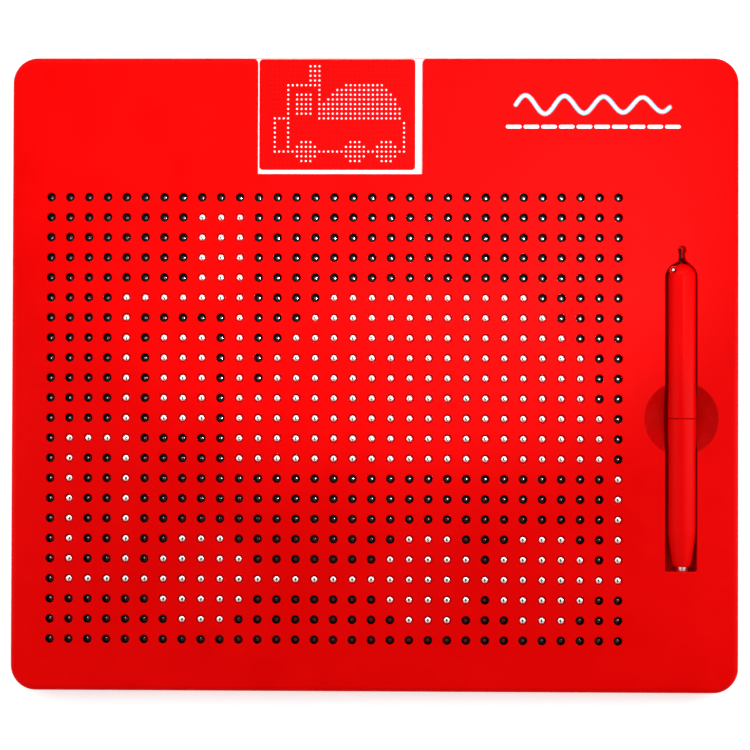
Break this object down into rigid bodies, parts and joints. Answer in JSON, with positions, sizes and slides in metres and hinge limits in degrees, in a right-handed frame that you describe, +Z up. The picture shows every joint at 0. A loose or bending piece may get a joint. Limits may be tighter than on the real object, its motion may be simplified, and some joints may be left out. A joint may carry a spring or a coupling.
{
  "type": "magnetic bead drawing pad",
  "caption": "Flat red drawing pad: a grid of round holes holds steel beads that a tethered magnetic stylus pulls up and a finger pushes down, with a slide-out picture card.",
  "frame": {"origin": "centre of the pad's outline, on its underside", "axes": "+Z up out of the drawing face, +X to the right along the long side, towards the stylus, +Y towards the edge with the picture card"},
  "size_m": [0.3174, 0.2768, 0.0156],
  "materials": {
    "shell": "semi-gloss moulded",
    "stylus": "semi-gloss moulded",
    "tray": "matt",
    "card": "coated card with a printed dot picture",
    "bead": "polished steel",
    "steel": "polished steel",
    "magnet": "nickel plated",
    "screw": "zinc plated",
    "cord": "braided"
  },
  "bodies": {
    "pad": {"back_cover": "shell", "bead_tray": "tray", "cord_knot": "cord", "front_panel": "shell", "screw_1": "screw", "screw_2": "screw", "screw_3": "screw", "screw_4": "screw", "screw_5": "screw", "screw_6": "screw", "tether_cord": "cord"},
    "card": {"picture_card": "card"},
    "stylus": {"stylus_rear_barrel": "stylus", "stylus_front_barrel": "stylus", "stylus_magnet": "magnet", "cord_crimp": "steel"},
    "beads_up": {"beads_up": "bead"},
    "beads_down": {"beads_down": "bead"},
    "bead_r01_c06": {"bead_r01_c06": "bead"},
    "bead_r01_c07": {"bead_r01_c07": "bead"},
    "bead_r01_c08": {"bead_r01_c08": "bead"},
    "bead_r01_c09": {"bead_r01_c09": "bead"},
    "bead_r01_c10": {"bead_r01_c10": "bead"},
    "bead_r01_c11": {"bead_r01_c11": "bead"},
    "bead_r02_c06": {"bead_r02_c06": "bead"},
    "bead_r02_c07": {"bead_r02_c07": "bead"},
    "bead_r02_c08": {"bead_r02_c08": "bead"},
    "bead_r02_c09": {"bead_r02_c09": "bead"},
    "bead_r02_c10": {"bead_r02_c10": "bead"},
    "bead_r02_c11": {"bead_r02_c11": "bead"},
    "bead_r03_c06": {"bead_r03_c06": "bead"},
    "bead_r03_c07": {"bead_r03_c07": "bead"},
    "bead_r03_c08": {"bead_r03_c08": "bead"},
    "bead_r03_c09": {"bead_r03_c09": "bead"},
    "bead_r03_c10": {"bead_r03_c10": "bead"},
    "bead_r03_c11": {"bead_r03_c11": "bead"},
    "bead_r04_c06": {"bead_r04_c06": "bead"},
    "bead_r04_c07": {"bead_r04_c07": "bead"},
    "bead_r04_c08": {"bead_r04_c08": "bead"},
    "bead_r04_c09": {"bead_r04_c09": "bead"},
    "bead_r04_c10": {"bead_r04_c10": "bead"},
    "bead_r04_c11": {"bead_r04_c11": "bead"},
    "bead_r05_c06": {"bead_r05_c06": "bead"},
    "bead_r05_c07": {"bead_r05_c07": "bead"},
    "bead_r05_c08": {"bead_r05_c08": "bead"},
    "bead_r05_c09": {"bead_r05_c09": "bead"},
    "bead_r05_c10": {"bead_r05_c10": "bead"},
    "bead_r05_c11": {"bead_r05_c11": "bead"}
  },
  "joints": [
    {"name": "card_slide", "type": "slide", "parent": "pad", "child": "card", "axis": [0, 1, 0], "range_m": [0, 0.055]},
    {"name": "stylus_lift", "type": "slide", "parent": "pad", "child": "stylus", "axis": [0, 0, 1], "range_m": [0, 0.025]},
    {"name": "beads_up_slide", "type": "slide", "parent": "pad", "child": "beads_up", "axis": [0, 0, 1], "range_m": [-0.003, 0]},
    {"name": "beads_down_slide", "type": "slide", "parent": "pad", "child": "beads_down", "axis": [0, 0, 1], "range_m": [0, 0.003]},
    {"name": "bead_r01_c06_slide", "type": "slide", "parent": "pad", "child": "bead_r01_c06", "axis": [0, 0, 1], "range_m": [0, 0.003]},
    {"name": "bead_r01_c07_slide", "type": "slide", "parent": "pad", "child": "bead_r01_c07", "axis": [0, 0, 1], "range_m": [0, 0.003]},
    {"name": "bead_r01_c08_slide", "type": "slide", "parent": "pad", "child": "bead_r01_c08", "axis": [0, 0, 1], "range_m": [-0.003, 0]},
    {"name": "bead_r01_c09_slide", "type": "slide", "parent": "pad", "child": "bead_r01_c09", "axis": [0, 0, 1], "range_m": [-0.003, 0]},
    {"name": "bead_r01_c10_slide", "type": "slide", "parent": "pad", "child": "bead_r01_c10", "axis": [0, 0, 1], "range_m": [-0.003, 0]},
    {"name": "bead_r01_c11_slide", "type": "slide", "parent": "pad", "child": "bead_r01_c11", "axis": [0, 0, 1], "range_m": [0, 0.003]},
    {"name": "bead_r02_c06_slide", "type": "slide", "parent": "pad", "child": "bead_r02_c06", "axis": [0, 0, 1], "range_m": [0, 0.003]},
    {"name": "bead_r02_c07_slide", "type": "slide", "parent": "pad", "child": "bead_r02_c07", "axis": [0, 0, 1], "range_m": [0, 0.003]},
    {"name": "bead_r02_c08_slide", "type": "slide", "parent": "pad", "child": "bead_r02_c08", "axis": [0, 0, 1], "range_m": [-0.003, 0]},
    {"name": "bead_r02_c09_slide", "type": "slide", "parent": "pad", "child": "bead_r02_c09", "axis": [0, 0, 1], "range_m": [-0.003, 0]},
    {"name": "bead_r02_c10_slide", "type": "slide", "parent": "pad", "child": "bead_r02_c10", "axis": [0, 0, 1], "range_m": [-0.003, 0]},
    {"name": "bead_r02_c11_slide", "type": "slide", "parent": "pad", "child": "bead_r02_c11", "axis": [0, 0, 1], "range_m": [0, 0.003]},
    {"name": "bead_r03_c06_slide", "type": "slide", "parent": "pad", "child": "bead_r03_c06", "axis": [0, 0, 1], "range_m": [0, 0.003]},
    {"name": "bead_r03_c07_slide", "type": "slide", "parent": "pad", "child": "bead_r03_c07", "axis": [0, 0, 1], "range_m": [0, 0.003]},
    {"name": "bead_r03_c08_slide", "type": "slide", "parent": "pad", "child": "bead_r03_c08", "axis": [0, 0, 1], "range_m": [-0.003, 0]},
    {"name": "bead_r03_c09_slide", "type": "slide", "parent": "pad", "child": "bead_r03_c09", "axis": [0, 0, 1], "range_m": [-0.003, 0]},
    {"name": "bead_r03_c10_slide", "type": "slide", "parent": "pad", "child": "bead_r03_c10", "axis": [0, 0, 1], "range_m": [-0.003, 0]},
    {"name": "bead_r03_c11_slide", "type": "slide", "parent": "pad", "child": "bead_r03_c11", "axis": [0, 0, 1], "range_m": [0, 0.003]},
    {"name": "bead_r04_c06_slide", "type": "slide", "parent": "pad", "child": "bead_r04_c06", "axis": [0, 0, 1], "range_m": [0, 0.003]},
    {"name": "bead_r04_c07_slide", "type": "slide", "parent": "pad", "child": "bead_r04_c07", "axis": [0, 0, 1], "range_m": [0, 0.003]},
    {"name": "bead_r04_c08_slide", "type": "slide", "parent": "pad", "child": "bead_r04_c08", "axis": [0, 0, 1], "range_m": [-0.003, 0]},
    {"name": "bead_r04_c09_slide", "type": "slide", "parent": "pad", "child": "bead_r04_c09", "axis": [0, 0, 1], "range_m": [-0.003, 0]},
    {"name": "bead_r04_c10_slide", "type": "slide", "parent": "pad", "child": "bead_r04_c10", "axis": [0, 0, 1], "range_m": [-0.003, 0]},
    {"name": "bead_r04_c11_slide", "type": "slide", "parent": "pad", "child": "bead_r04_c11", "axis": [0, 0, 1], "range_m": [0, 0.003]},
    {"name": "bead_r05_c06_slide", "type": "slide", "parent": "pad", "child": "bead_r05_c06", "axis": [0, 0, 1], "range_m": [-0.003, 0]},
    {"name": "bead_r05_c07_slide", "type": "slide", "parent": "pad", "child": "bead_r05_c07", "axis": [0, 0, 1], "range_m": [-0.003, 0]},
    {"name": "bead_r05_c08_slide", "type": "slide", "parent": "pad", "child": "bead_r05_c08", "axis": [0, 0, 1], "range_m": [-0.003, 0]},
    {"name": "bead_r05_c09_slide", "type": "slide", "parent": "pad", "child": "bead_r05_c09", "axis": [0, 0, 1], "range_m": [-0.003, 0]},
    {"name": "bead_r05_c10_slide", "type": "slide", "parent": "pad", "child": "bead_r05_c10", "axis": [0, 0, 1], "range_m": [-0.003, 0]},
    {"name": "bead_r05_c11_slide", "type": "slide", "parent": "pad", "child": "bead_r05_c11", "axis": [0, 0, 1], "range_m": [0, 0.003]}
  ]
}
